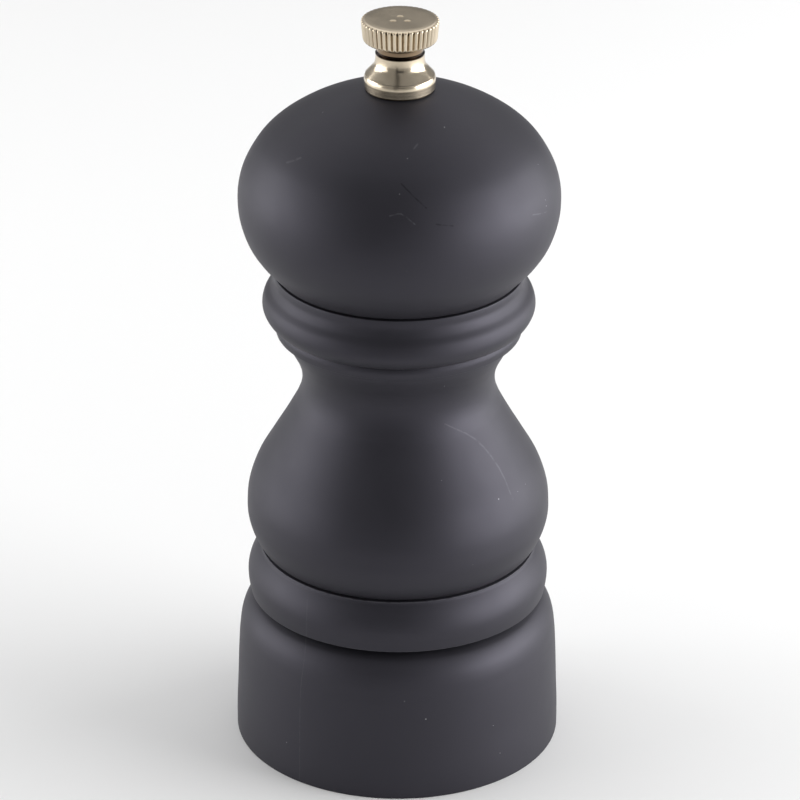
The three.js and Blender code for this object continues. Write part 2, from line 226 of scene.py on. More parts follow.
def cut(piece, cutters, operation="DIFFERENCE", sharp_angle=32):
    """Cuts pieces out of a piece, or joins them to it, and leaves one clean mesh."""
    for cutter in cutters:
        modifier = piece.modifiers.new("cut", "BOOLEAN")
        modifier.operation = operation
        modifier.solver = "EXACT"
        modifier.object = cutter
    bpy.context.view_layer.update()
    evaluated = piece.evaluated_get(bpy.context.evaluated_depsgraph_get())
    mesh = bpy.data.meshes.new_from_object(evaluated)
    piece.modifiers.clear()
    old = piece.data
    piece.data = mesh
    mesh.name = piece.name
    bpy.data.meshes.remove(old)
    for cutter in cutters:
        bpy.data.objects.remove(cutter)
    mesh.shade_smooth()
    mesh.set_sharp_from_angle(angle=math.radians(sharp_angle))
    return piece


def rectangle(half_x, half_y):
    return [(-half_x, -half_y), (half_x, -half_y), (half_x, half_y), (-half_x, half_y)]


def rod(radius, low, high, x=0, y=0, sides=64):
    """An upright cylinder, for drilling."""
    angles = [TAU * i / sides for i in range(sides)]
    return extrude("rod", [(x + radius * math.cos(a), y + radius * math.sin(a)) for a in angles], low, high)


def square_rod(side, low, high):
    return extrude("square_rod", rectangle(side / 2, side / 2), low, high)


def fit(piece, node, materials):
    """Puts the piece in its CAD node's place, on that node's body and with that node's finish."""
    for material in materials:
        piece.data.materials.append(material)
    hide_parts(node)
    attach(piece, BODY_OF[node])
    return piece


# ---- Materials -----------------------------------------------------------------------------------


class Nodes:
    """A material being wired: short calls that add a node, set its inputs and link it."""

    def __init__(self, name):
        self.material = bpy.data.materials.new(name)
        self.material.use_nodes = True
        self.tree = self.material.node_tree
        self.shader = self.tree.nodes["Principled BSDF"]
        self.place = self.add("ShaderNodeTexCoord").outputs["Object"]

    def add(self, kind, inputs=None, **settings):
        node = self.tree.nodes.new(kind)
        for key, value in settings.items():
            setattr(node, key, value)
        for key, value in (inputs or {}).items():
            if isinstance(value, bpy.types.NodeSocket):
                self.tree.links.new(value, node.inputs[key])
            else:
                node.inputs[key].default_value = value
        return node

    def set(self, **inputs):
        for key, value in inputs.items():
            socket = self.shader.inputs[key.replace("_", " ")]
            if isinstance(value, bpy.types.NodeSocket):
                self.tree.links.new(value, socket)
            else:
                socket.default_value = value

    def math(self, operation, a, b=0.0, c=0.0):
        return self.add("ShaderNodeMath", {0: a, 1: b, 2: c}, operation=operation).outputs[0]

    def vector(self, operation, a, b):
        return self.add("ShaderNodeVectorMath", {0: a, 1: b}, operation=operation)

    def stretch(self, scale):
        """Object coordinates times a scale along each axis, per metre."""
        return self.vector("MULTIPLY", self.place, scale).outputs[0]

    def noise(self, scale, detail=2.0, roughness=0.5, place=None):
        inputs = {"Vector": place or self.place, "Scale": scale, "Detail": detail, "Roughness": roughness}
        return self.add("ShaderNodeTexNoise", inputs).outputs["Fac"]

    def ramp(self, value, low, high, out_low=0.0, out_high=1.0):
        inputs = {"Value": value, "From Min": low, "From Max": high, "To Min": out_low, "To Max": out_high}
        return self.add("ShaderNodeMapRange", inputs, interpolation_type="SMOOTHSTEP").outputs[0]

    def mix(self, factor, a, b):
        node = self.add("ShaderNodeMix", data_type="RGBA")
        for index, value in ((0, factor), (6, a), (7, b)):
            if isinstance(value, bpy.types.NodeSocket):
                self.tree.links.new(value, node.inputs[index])
            else:
                node.inputs[index].default_value = value
        return node.outputs[2]

    def bump(self, height, distance, strength=1.0, normal=None):
        inputs = {"Height": height, "Distance": distance, "Strength": strength}
        if normal:
            inputs["Normal"] = normal
        return self.add("ShaderNodeBump", inputs).outputs[0]

    def specks(self, scale, size, chance):
        """Small spots: 1 inside a spot, 0 outside. chance is the share of cells that hold one."""
        inputs = {"Vector": self.place, "Scale": scale}
        cells = self.add("ShaderNodeTexVoronoi", inputs)
        inside = self.ramp(cells.outputs["Distance"], size, size * 0.5)
        split = self.add("ShaderNodeSeparateColor", {0: cells.outputs["Color"]})
        kept = self.math("LESS_THAN", split.outputs[0], chance)
        return self.math("MULTIPLY", inside, kept)

    def stroke(self, points, half_width):
        """A thin line on the front of the mill, through (x, z) points in millimetres: 1 on it, 0 off it."""
        axes = self.add("ShaderNodeSeparateXYZ", {0: self.place}).outputs
        flat = self.add("ShaderNodeCombineXYZ", {0: axes[0], 1: axes[2]}).outputs[0]
        nearest = 1.0
        for (x0, z0), (x1, z1) in zip(points, points[1:]):
            span = Vector((x1 - x0, z1 - z0, 0)) * MM
            offset = self.vector("SUBTRACT", flat, (x0 * MM, z0 * MM, 0)).outputs[0]
            share = self.vector("DOT_PRODUCT", offset, span / span.length_squared).outputs["Value"]
            share = self.add("ShaderNodeClamp", {"Value": share}).outputs[0]
            foot = self.add("ShaderNodeVectorMath", {0: span, "Scale": share}, operation="SCALE").outputs[0]
            nearest = self.math("MINIMUM", self.vector("DISTANCE", offset, foot).outputs["Value"], nearest)
        on_front = self.math("LESS_THAN", axes[1], 0)
        return self.math("MULTIPLY", self.ramp(nearest, half_width * MM, 0), on_front)

    def radius_and_height(self):
        """The distance from the mill's axis and the height, both in millimetres."""
        flat = self.vector("MULTIPLY", self.place, (1, 1, 0)).outputs[0]
        radius = self.vector("LENGTH", flat, (0, 0, 0)).outputs["Value"]
        height = self.add("ShaderNodeSeparateXYZ", {0: self.place}).outputs[2]
        return self.math("DIVIDE", radius, MM), self.math("DIVIDE", height, MM)

    def ring(self, radius, height, half_width):
        """A thin line right round the mill at a radius and a height in millimetres: 1 on it, 0 off it."""
        r, z = self.radius_and_height()
        away = {0: self.math("SUBTRACT", r, radius), 1: self.math("SUBTRACT", z, height)}
        away = self.add("ShaderNodeCombineXYZ", away).outputs[0]
        distance = self.vector("LENGTH", away, (0, 0, 0)).outputs["Value"]
        return self.ramp(distance, half_width, half_width * 0.3)


def rgb(r, g, b):
    return (r, g, b, 1.0)


# Marks on the front of the lacquer, as lines through (x, z) points in millimetres.
PALE_SCUFFS = [
    [(7.7, 64.1), (12.7, 60.5), (16.8, 55.1), (19.2, 50)],
    [(-1.5, 106), (0.3, 106.3), (2.5, 104.8)],
    [(2.3, 113.9), (2.9, 114.3)],
    [(21.6, 102.1), (23.8, 101.1)],
    [(-18.2, 109.8), (-15.9, 111)],
]
DARK_SCUFFS = [
    [(0.3, 110.2), (4.3, 107)],
    [(5.9, 104.6), (8.6, 104.1)],
]
GRAIN_LINE = [(-16.5, 0.3), (-16.2, 18), (-15.4, 25), (-15.1, 33.5)]
# Pale painted highlights all the way round two crisp edges, as (radius, z) in millimetres.
PAINTED_EDGE_HIGHLIGHTS = [(25.14, 26.9), (23.38, 35.28)]


def lacquer(name):
    """Matt black soft-touch lacquer over turned wood: a faint grain under it, fine dust and rubbed places,
    and pale painted highlights round two crisp edges.
    """
    n = Nodes(name)
    deep_black, soft_black = rgb(0.0088, 0.0086, 0.0104), rgb(0.0108, 0.0105, 0.0128)
    dust_grey, scuff_and_highlight_grey = rgb(0.42, 0.41, 0.42), rgb(0.045, 0.044, 0.049)
    smudge = n.noise(70, detail=3, roughness=0.6)
    colour = n.mix(n.ramp(smudge, 0.35, 0.7), deep_black, soft_black)
    dust = n.math("MAXIMUM", n.specks(420, size=0.055, chance=0.06), n.specks(800, size=0.07, chance=0.03))
    colour = n.mix(n.math("MULTIPLY", dust, 0.8), colour, dust_grey)
    broken = n.ramp(n.noise(900, detail=2, roughness=0.6), 0.3, 0.6)
    pale = n.math("MULTIPLY", n.stroke(smooth(GRAIN_LINE, 4), half_width=0.1), 0.6)
    # Painted highlights: pale lines right round two crisp edges.
    for radius, height in PAINTED_EDGE_HIGHLIGHTS:
        edge = n.ring(radius, height, half_width=0.16)
        pale = n.math("MAXIMUM", pale, n.math("MULTIPLY", edge, 0.8))
    for points in PALE_SCUFFS:
        pale = n.math("MAXIMUM", pale, n.stroke(smooth(points, 3), half_width=0.16))
    # One pale grey for the scuffs, the grain line and the painted edge highlights.
    n.set(Base_Color=n.mix(n.math("MULTIPLY", pale, broken), colour, scuff_and_highlight_grey))
    dark = 0.0
    for points in DARK_SCUFFS:
        dark = n.math("MAXIMUM", dark, n.stroke(smooth(points, 3), half_width=0.2))
    n.set(Specular_IOR_Level=n.ramp(n.math("MULTIPLY", dark, broken), 0, 1, 0.56, 0.3))
    n.set(Specular_Tint=rgb(0.85, 0.82, 1.0))
    n.set(Roughness=n.ramp(smudge, 0.3, 0.75, 0.54, 0.6))
    skin = n.bump(n.noise(2600, detail=2, roughness=0.5), distance=0.000012, strength=0.35)
    grain = n.noise(1, detail=3, roughness=0.6, place=n.stretch((420, 420, 26)))
    n.set(Normal=n.bump(grain, distance=0.00003, strength=0.3, normal=skin))
    return n.material


# The nut from its foot up, in millimetres: a bell under a narrow groove, and a cap with fluted sides. The
# cap's ridges start at CAP_LOW, and lean outwards by CAP_LEAN for each millimetre of height.
NUT_BOTTOM = 117.95
NUT_TOP = heights("adjusting_nut")[1]
BELL_TOP = 124.1
CAP_LOW = 126.9
CAP_LOW_RADIUS = 6.12
CAP_LEAN = 0.1
FLUTE_DEPTH = 0.46
# How many millimetres the painted shade under the cap's rim reaches down the flutes.
RIM_SHADE_REACH = 0.9


def nickel(name):
    """Warm polished nickel plate for the nut: brown tarnish in its flutes, painted darker at the sides than
    at the front and back as shade; brown painted shade under its cap; black painted shade under the cap's rim
    and in the groove over the bell; a black painted contact shadow round the foot; and a flat top painted
    darker as shade."""
    n = Nodes(name)
    dark_nickel, light_nickel = rgb(0.57, 0.485, 0.365), rgb(0.64, 0.555, 0.43)
    # A darker, browner colour for the flat top: painted shade.
    shaded_top_colour = rgb(0.40, 0.335, 0.245)
    # Brown for the flutes' tarnish and for painted shade under the cap. Black for painted shade and contact
    # shadow.
    tarnish_and_shade_brown, shade_black = rgb(0.16, 0.1, 0.055), rgb(0.012, 0.007, 0.007)
    radius, height = n.radius_and_height()
    x = n.add("ShaderNodeSeparateXYZ", {0: n.place}).outputs[0]
    sideways = n.math("DIVIDE", n.math("ABSOLUTE", x), MM)
    ridge = n.math("MULTIPLY_ADD", height, CAP_LEAN, CAP_LOW_RADIUS - CAP_LEAN * CAP_LOW)
    depth = n.math("DIVIDE", n.math("SUBTRACT", ridge, radius), FLUTE_DEPTH)

    over_low = n.ramp(height, CAP_LOW - 0.4, CAP_LOW)
    on_side = n.math("MULTIPLY", over_low, n.ramp(height, NUT_TOP - 0.05, NUT_TOP - 0.15))
    # Brown tarnish in the flutes, painted darker at the sides than at the front and back as shade.
    in_flute = n.math("MULTIPLY", n.ramp(depth, 0.25, 1), n.ramp(sideways, 1.5, 4.5, 0.35, 0.85))
    # Painted shade: the collar under the cap is painted brown where the cap shades it.
    shade_under_cap = n.math("MULTIPLY", n.math("LESS_THAN", radius, 5.2), n.ramp(height, BELL_TOP, BELL_TOP + 0.3))
    shade_under_cap = n.math("MULTIPLY", shade_under_cap, n.math("LESS_THAN", height, CAP_LOW))
    tarnish_and_shade = n.math("MAXIMUM", n.math("MULTIPLY", in_flute, on_side), n.math("MULTIPLY", shade_under_cap, 0.85))

    # Black painted shade under the cap's rim and in the groove over the bell, and a painted contact shadow
    # round the foot.
    below_rim = n.math("MULTIPLY_ADD", height, 1 / RIM_SHADE_REACH, -(NUT_TOP - 0.3) / RIM_SHADE_REACH)
    in_rim = n.ramp(n.math("ADD", depth, below_rim), 0.2, 0.5)
    in_rim = n.math("MULTIPLY", n.ramp(height, NUT_TOP - 0.28, NUT_TOP - 0.4), in_rim)
    in_groove = n.math("MULTIPLY", n.ramp(radius, 4.2, 4.1), n.ramp(height, BELL_TOP + 0.8, BELL_TOP + 0.5))
    in_groove = n.math("MULTIPLY", in_groove, n.ramp(height, BELL_TOP - 0.05, BELL_TOP + 0.05))
    at_foot = n.ramp(height, NUT_BOTTOM + 0.4, NUT_BOTTOM + 0.15)
    painted_shade = n.math("MAXIMUM", n.math("MAXIMUM", in_rim, in_groove), at_foot)

    smear = n.noise(260, detail=3, roughness=0.55)
    plate = n.mix(n.ramp(smear, 0.3, 0.7), dark_nickel, light_nickel)
    # Painted shade: the flat top is painted darker.
    top_shade = n.math("MULTIPLY", n.ramp(height, NUT_TOP - 0.03, NUT_TOP - 0.01), 0.8)
    plate = n.mix(top_shade, plate, shaded_top_colour)
    # Brown tarnish in the flutes and brown painted shade under the cap.
    plate = n.mix(tarnish_and_shade, plate, tarnish_and_shade_brown)
    # The black painted shade and contact shadow go over everything else.
    n.set(Base_Color=n.mix(n.math("MULTIPLY", painted_shade, 0.92), plate, shade_black))
    n.set(Metallic=1.0)
    n.set(Roughness=n.ramp(smear, 0.3, 0.7, 0.19, 0.25))
    lines = n.noise(1, detail=2, roughness=0.5, place=n.stretch((300, 300, 9000)))
    n.set(Normal=n.bump(lines, distance=0.000006, strength=0.25))
    return n.material


def steel(name, colour, smoothest, roughest, stretch):
    """Plated or drawn steel: fine lines along one direction and slightly cloudy plating."""
    n = Nodes(name)
    cloud = n.noise(180, detail=4, roughness=0.6)
    darker = tuple(c * 0.82 for c in colour)
    n.set(Base_Color=n.mix(n.ramp(cloud, 0.3, 0.7), rgb(*darker), rgb(*colour)))
    n.set(Metallic=1.0)
    n.set(Roughness=n.ramp(cloud, 0.3, 0.7, smoothest, roughest))
    lines = n.noise(1, detail=3, roughness=0.6, place=n.stretch(stretch))
    n.set(Normal=n.bump(lines, distance=0.00001, strength=0.35))
    return n.material


def nylon(name, colour):
    """Moulded nylon: slightly waxy, with the fine texture of its mould."""
    n = Nodes(name)
    cloud = n.noise(300, detail=2, roughness=0.5)
    paler = tuple(min(1.0, c * 1.12) for c in colour)
    n.set(Base_Color=n.mix(cloud, rgb(*colour), rgb(*paler)))
    n.set(Roughness=n.ramp(cloud, 0.3, 0.7, 0.42, 0.55))
    n.set(Normal=n.bump(n.noise(5000), distance=0.00001, strength=0.4))
    return n.material


def bare_beech(name):
    """Unfinished beech inside the mill: pale, with short dark flecks along the grain."""
    n = Nodes(name)
    grain = n.noise(1, detail=4, roughness=0.65, place=n.stretch((900, 900, 40)))
    flecks = n.noise(1, detail=2, roughness=0.5, place=n.stretch((2600, 2600, 300)))
    flecks = n.math("MULTIPLY", n.ramp(flecks, 0.62, 0.72), 0.6)
    pale = n.mix(n.ramp(grain, 0.3, 0.7), rgb(0.42, 0.24, 0.13), rgb(0.58, 0.37, 0.22))
    n.set(Base_Color=n.mix(flecks, pale, rgb(0.22, 0.11, 0.055)))
    n.set(Roughness=0.72)
    n.set(Normal=n.bump(grain, distance=0.00008, strength=0.5))
    return n.material


BLACK = lacquer("matt_black_lacquer")
NICKEL = nickel("polished_nickel")
ZINC = steel("zinc_plated_steel", (0.56, 0.57, 0.58), 0.28, 0.42, (2200, 200, 200))
BAR_STEEL = steel("drawn_bar_steel", (0.50, 0.50, 0.51), 0.25, 0.38, (3200, 3200, 60))
WIRE = steel("spring_wire", (0.38, 0.38, 0.40), 0.25, 0.35, (1500, 1500, 1500))
BURR = steel("hardened_burr_steel", (0.20, 0.20, 0.21), 0.36, 0.52, (900, 900, 3000))
WHITE_NYLON = nylon("moulded_white_nylon", (0.68, 0.66, 0.60))
BLACK_NYLON = nylon("moulded_black_nylon", (0.012, 0.012, 0.013))
BEECH = bare_beech("bare_beech")


# ---- Turned body and head ------------------------------------------------------------------------

FOOT_RADIUS = 27.72
FOOT_EDGE = 0.12
BODY_TOP = heights("body_shell")[1]
BODY_MOUTH = 20.85
BORE = 13.0
RECESS = 20.5
LEDGE = 14.0
TENON_BOTTOM, HEAD_TOP = heights("head_shell")
TENON = 12.6
HEAD_BOTTOM = 86.2
RIM_BOTTOM = 85.98
SPINDLE_HOLE = 4.0
TURNED_SIDES = 192

# How far a face's middle may lie from a radius or a height and still count as on it.
NEAR = 0.05


def line_inside(piece, is_inside):
    """Gives the second material to the faces whose middle (radius, z), in millimetres, is inside."""
    for face in piece.data.polygons:
        radius = math.hypot(face.center.x, face.center.y) / MM
        if is_inside(radius, face.center.z / MM):
            face.material_index = 1


def body_shell():
    foot = rounded([
        (RECESS, 1.0),
        (RECESS, 0, 0.4),
        (FOOT_RADIUS, 0, FOOT_EDGE),
        (FOOT_RADIUS, 0.3),
    ], closed=False)
    base = smooth([
        (FOOT_RADIUS, FOOT_EDGE), (FOOT_RADIUS, 2.4), (27.67, 5), (27.5, 9), (27.33, 14), (27.13, 18),
    ])
    shoulder = smooth([
        (27.13, 18), (26.77, 21), (26.25, 22.7), (25.45, 24), (24.7, 24.8), (24.1, 25.2), (23.5, 25.5),
        (22.9, 25.7),
    ])
    groove = rounded([
        (22.9, 25.7), (22.5, 26.1, 0.2), (22.9, 26.7, 0.2), (25.0, 26.84), (25.16, 26.86, 0.08),
        (25.2, 27.05), (25.34, 27.7),
    ], 6, closed=False)
    lower_ring = smooth([
        (25.34, 27.7), (25.52, 29.1), (25.5, 30.6), (25.1, 32.1), (24.4, 33.5), (23.85, 34.35), (23.52, 34.8),
        (23.42, 35),
    ])
    top_lip = rounded([(23.42, 35), (23.38, 35.32, 0.12), (22.7, 35.36)], closed=False)
    belly = smooth([
        (22.85, 35.46), (23.55, 36.2), (24.75, 38.4), (25.48, 41), (25.56, 43.2), (25.28, 46), (23.95, 50),
        (21.7, 54), (19.35, 58), (17.32, 61.7),
    ])
    neck = smooth([
        (17.32, 61.7), (16.45, 64), (16.15, 66), (16.35, 68), (17.0, 69.9), (18.1, 72), (18.9, 73.6),
        (19.2, 74.6),
    ])
    bead = rounded([(19.2, 74.6), (20.52, 74.9, 0.2), (20.74, 76, 1.1), (20.56, 76.78)], closed=False)
    upper_ring = smooth([
        (20.5, 76.85), (20.62, 76.92), (21.65, 77.52), (22.44, 78.6), (22.77, 79.8), (22.4, 81.5),
        (21.35, 82.9), (BODY_MOUTH, 84.1), (BODY_MOUTH, 85.1),
    ])
    mouth = rounded([
        (BODY_MOUTH, 85.2),
        (BODY_MOUTH, BODY_TOP, 0.12),
        (BORE, BODY_TOP, 0.5),
        (BORE, 80),
    ], closed=False)
    outline = [
        *foot[:-1],
        *base[1:],
        *shoulder[1:],
        *groove[1:],
        *lower_ring[1:],
        *top_lip[1:],
        *belly,
        *neck[1:],
        *bead[1:],
        *upper_ring,
        *mouth,
        *[(BORE, z) for z in (72, 64, 56, 48, 40, 32, 24, 18)],
        (BORE, LEDGE),
        (16, LEDGE),
        (RECESS, LEDGE),
        (RECESS, 7),
    ]
    piece = revolve("mill_body_shell", outline, TURNED_SIDES)
    line_inside(piece, lambda radius, z: abs(z - LEDGE) < NEAR or (z > LEDGE and radius < BORE + NEAR))
    return fit(piece, "body_shell", [BLACK, BEECH])


def head_shell():
    rim = rounded([
        (TENON, HEAD_BOTTOM),
        (19.6, HEAD_BOTTOM),
        (19.6, RIM_BOTTOM),
        (20.6, RIM_BOTTOM, 0.1),
        (20.8, 86.3),
    ], closed=False)
    dome = smooth([
        (20.8, 86.3), (21.95, 87.45), (23.5, 89.2), (25.23, 92), (26.42, 95.8), (26.67, 99), (26.42, 101.5),
        (25.6, 104.2), (23.43, 108), (21.4, 110.2), (18.93, 112.1), (16.3, 113.7), (13.4, 115.1),
        (10.6, 116.3), (8.3, 117.15), (6.7, 117.66), (5.8, 117.86),
    ])
    washer_seat = rounded([
        (5.65, HEAD_TOP),
        (5.5, HEAD_TOP, 0.05),
        (5.5, HEAD_TOP - 0.4),
        (SPINDLE_HOLE, HEAD_TOP - 0.4),
    ], closed=False)
    tenon_end = rounded([
        (SPINDLE_HOLE, 80),
        (SPINDLE_HOLE, TENON_BOTTOM, 0.3),
        (TENON, TENON_BOTTOM, 0.6),
        (TENON, 80),
    ], closed=False)
    outline = [
        *rim,
        *dome[1:],
        *washer_seat,
        *[(SPINDLE_HOLE, z) for z in (110, 102, 94, 86)],
        *tenon_end,
        (TENON, 83),
    ]
    piece = revolve("mill_head", outline, TURNED_SIDES)
    line_inside(piece, lambda radius, z: radius < (TENON if z < HEAD_BOTTOM else SPINDLE_HOLE) + NEAR)
    return fit(piece, "head_shell", [BLACK, BEECH])


# ---- Adjusting nut -------------------------------------------------------------------------------

FLUTES = 42
FLUTE_STEPS = 10
NUT_HOLE = 2.75
DOT_COUNT = 3
DOT_RADIUS = 0.62
DOT_CIRCLE = 1.35


def cap_side(z):
    """The radius of the cap's ridges, which lean outwards to the top."""
    return CAP_LOW_RADIUS + CAP_LEAN * (z - CAP_LOW)


def fluted(radius, z, angle):
    if z < CAP_LOW - 0.5 or radius < 5:
        return radius
    phase = (angle / TAU * FLUTES) % 1.0
    from_ridge = abs(2 * phase - 1)
    return min(radius, cap_side(z) - FLUTE_DEPTH * from_ridge ** 2)


def adjusting_nut():
    hole = [(0, 127.4), (1.4, 127.4), (NUT_HOLE, 126.8), *[(NUT_HOLE, z) for z in (125, 122, 119)]]
    band = smooth([
        (5.75, 117.98), (5.76, 118.4), (5.82, 119.1), (5.87, 119.7), (5.8, 120.2), (5.66, 120.48),
    ], 5)
    bell = smooth([
        (5.68, 120.56), (5.33, 120.95), (4.9, 121.42), (4.4, 122.02), (4.12, 122.65), (4.03, 123.4),
        (4.03, BELL_TOP),
    ], 5)
    collar = rounded([
        (4.05, 124.25, 0.1), (3.72, 124.45, 0.05), (3.86, 124.8, 0.1), (3.9, 126.4, 1.0), (5.3, 126.4),
    ], 3, closed=False)
    under = smooth([(5.45, 126.36), (5.8, 126.42), (6.03, 126.62), (cap_side(CAP_LOW), CAP_LOW)], 3)
    top_edge = smooth([
        (6.37, 129.5), (6.37, 129.7), (6.28, 129.84), (6.1, 129.91), (5.85, 129.96), (5.6, NUT_TOP),
    ], 3)
    outline = [
        *hole,
        (NUT_HOLE, NUT_BOTTOM),
        (5.7, NUT_BOTTOM),
        *band,
        *bell,
        *collar,
        *under,
        *[(cap_side(z), z) for z in (127.2, 127.6, 128, 128.5, 129, 129.3)],
        *top_edge,
        *[(radius, NUT_TOP) for radius in (4.5, 3, 1.5, 0)],
    ]
    nut = revolve("fluted_nut", outline, FLUTES * FLUTE_STEPS, fluted, sharp_angle=40)
    fit(nut, "adjusting_nut", [NICKEL])
    for i in range(DOT_COUNT):
        nut_dot(f"nut_dot_{i + 1}", math.radians(90 + 360 / DOT_COUNT * i))


def nut_dot(name, angle):
    """A small dome on the nut's flat top."""
    rise = smooth([
        (DOT_RADIUS, NUT_TOP), (0.5, NUT_TOP + 0.08), (0.3, NUT_TOP + 0.14), (0, NUT_TOP + 0.17),
    ], 5)
    dome = revolve(name, [(0, NUT_TOP - 0.1), (DOT_RADIUS, NUT_TOP - 0.1), *rise], 32)
    dome.location = (DOT_CIRCLE * MM * math.cos(angle), DOT_CIRCLE * MM * math.sin(angle), 0)
    dome.data.materials.append(NICKEL)
    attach(dome, BODY_OF["adjusting_nut"])


# ---- Spindle -------------------------------------------------------------------------------------

SPINDLE_BOTTOM, SPINDLE_TOP = heights("spindle")
SPINDLE_HALF = reach("spindle")
ROUND_RADIUS = 2.45
THREAD_BOTTOM = 116.0
THREAD_PITCH = 0.8
THREAD_DEPTH = 0.3
ROWS_PER_TURN = 8


def thread(pitch, depth, low, high):
    """A screw thread cut into the radius between two heights, running out at both."""

    def shape(radius, z, angle):
        if not low < z < high:
            return radius
        phase = (z / pitch - angle / TAU) % 1.0
        runout = min(1.0, (z - low) / pitch, (high - z) / pitch)
        return radius - depth * runout * (1 - abs(2 * phase - 1))

    return shape


def spindle():
    """A square bar with a round grooved journal below and a threaded end above."""
    journal = rounded([
        (0, SPINDLE_BOTTOM),
        (ROUND_RADIUS, SPINDLE_BOTTOM, 0.4),
        (ROUND_RADIUS, 8.2, 0.05),
        (2, 8.2, 0.05),
        (2, 9.2, 0.05),
        (ROUND_RADIUS, 9.2, 0.05),
        (ROUND_RADIUS, 12),
        (0, 12),
    ])
    length = SPINDLE_TOP - 0.4 - THREAD_BOTTOM
    rows = int(length / THREAD_PITCH * ROWS_PER_TURN)
    threaded = [
        (0, THREAD_BOTTOM - 0.5),
        (ROUND_RADIUS, THREAD_BOTTOM - 0.5),
        *[(ROUND_RADIUS, THREAD_BOTTOM + length * i / rows) for i in range(rows + 1)],
        (2.1, SPINDLE_TOP),
        (0, SPINDLE_TOP),
    ]
    square = rounded([(x, y, 0.25) for x, y in rectangle(SPINDLE_HALF, SPINDLE_HALF)])
    bar = extrude("square_spindle", square, 10.4, 116.6, bevel=0.2)
    cut_thread = thread(THREAD_PITCH, THREAD_DEPTH, THREAD_BOTTOM + 0.8, SPINDLE_TOP - 0.1)
    ends = [revolve("journal", journal, 64), revolve("thread", threaded, 64, cut_thread, sharp_angle=50)]
    return fit(cut(bar, ends, "UNION"), "spindle", [BAR_STEEL])


# ---- Burrs ---------------------------------------------------------------------------------------

BAR_SCREWS = [middle("bar_screw_1"), middle("bar_screw_2")]

# Each burr has fine grinding teeth below its BREAK, and a few deep feeding teeth above it. SLANT is how many
# teeth they lean over in a millimetre of height.
ROTOR_BOTTOM, ROTOR_TOP = heights("rotor_burr")
ROTOR_BREAK = 13.2
ROTOR_NECK = 21.4
ROTOR_NECK_RADIUS = 5.4
ROTOR_TEETH, ROTOR_FEED_TEETH = 36, 9
STATOR_BOTTOM, STATOR_TOP = heights("stator_burr")
STATOR_RADIUS = reach("stator_burr")
STATOR_BREAK = 13.6
STATOR_TEETH_TOP = 24
STATOR_TEETH, STATOR_FEED_TEETH = 40, 12
SLANT, FEED_SLANT = 0.18, 0.075


def saw(phase):
    """A tooth: a long flank and a short steep one, 0 at the tip and 1 at the root."""
    phase %= 1.0
    return phase / 0.8 if phase < 0.8 else (1 - phase) / 0.2


def rotor_teeth(radius, z, angle):
    if radius < ROTOR_NECK_RADIUS + NEAR or z > ROTOR_NECK:
        return radius
    if z < ROTOR_BREAK:
        return radius - 0.55 * saw(angle / TAU * ROTOR_TEETH + z * SLANT)
    fade = min(1.0, (z - ROTOR_BREAK) / 0.8, (ROTOR_NECK - z) / 0.9)
    return radius - fade * 1.5 * saw(angle / TAU * ROTOR_FEED_TEETH + z * FEED_SLANT)


def rotor_burr():
    cone = [(9.2 - 0.25 * (z - 11.2), z) for z in (11.2, 11.6, 12.0, 12.4, 12.8, ROTOR_BREAK)]
    feed = [(8.7 - 0.42 * (z - ROTOR_BREAK), z) for z in (13.5 + 0.5 * i for i in range(16))]
    neck = rounded([
        (ROTOR_NECK_RADIUS, ROTOR_NECK),
        (ROTOR_NECK_RADIUS, ROTOR_TOP, 0.3),
        (3.4, ROTOR_TOP),
    ], closed=False)
    outline = [
        *[(radius, ROTOR_BOTTOM) for radius in (3.4, 6.5, 8.7)],
        (9.1, ROTOR_BOTTOM + 0.3),
        *cone,
        *feed,
        *neck,
    ]
    rotor = revolve("rotor_burr_fine", outline, 288, rotor_teeth, sharp_angle=35)
    rotor = cut(rotor, [rod(4.5, ROTOR_BOTTOM + 0.01, ROTOR_TOP - 0.01)], "UNION")
    rotor = cut(rotor, [square_rod(5.3, 0, 50)])
    return fit(rotor, "rotor_burr", [BURR])


def stator_teeth(radius, z, angle):
    if radius > 10.25 or z > STATOR_TEETH_TOP:
        return radius
    if z < STATOR_BREAK:
        return radius + 0.5 * saw(-angle / TAU * STATOR_TEETH + z * SLANT)
    fade = min(1.0, (z - STATOR_BREAK) / 0.8, (STATOR_TEETH_TOP - z) / 2.5)
    return radius + fade * 1.1 * saw(-angle / TAU * STATOR_FEED_TEETH + z * FEED_SLANT)


def stator_burr():
    flange_top, sleeve_radius = 12.8, 11.2
    outside = rounded([
        (9.8, STATOR_BOTTOM),
        (STATOR_RADIUS, STATOR_BOTTOM, 0.3),
        (STATOR_RADIUS, flange_top, 0.4),
        (sleeve_radius, flange_top, 0.3),
        (sleeve_radius, STATOR_TOP, 0.3),
        (10.35, STATOR_TOP),
    ], closed=False)
    throat = smooth([
        (10.3, 24.8), (9.9, 22.5), (9.3, 19.4), (8.92, 16.6), (9.0, 14.6), (9.35, 12.9), (9.7, 11),
    ], 6)
    stator = revolve("stator_burr_fine", [*outside, *throat], 360, stator_teeth, sharp_angle=35)
    stator = cut(stator, [rod(1.6, 9, 14, x, y) for x, y in BAR_SCREWS])
    return fit(stator, "stator_burr", [BURR])


# ---- Bracket, bar, spring and fasteners ----------------------------------------------------------

SCREW_HOLE = 1.65
EYE_HOLE = 3.95
SCREW_PITCH = 1.0
SCREW_NECK = 1.2
SCREW_POINT = 2.2
SLOT_DEPTH = 0.75


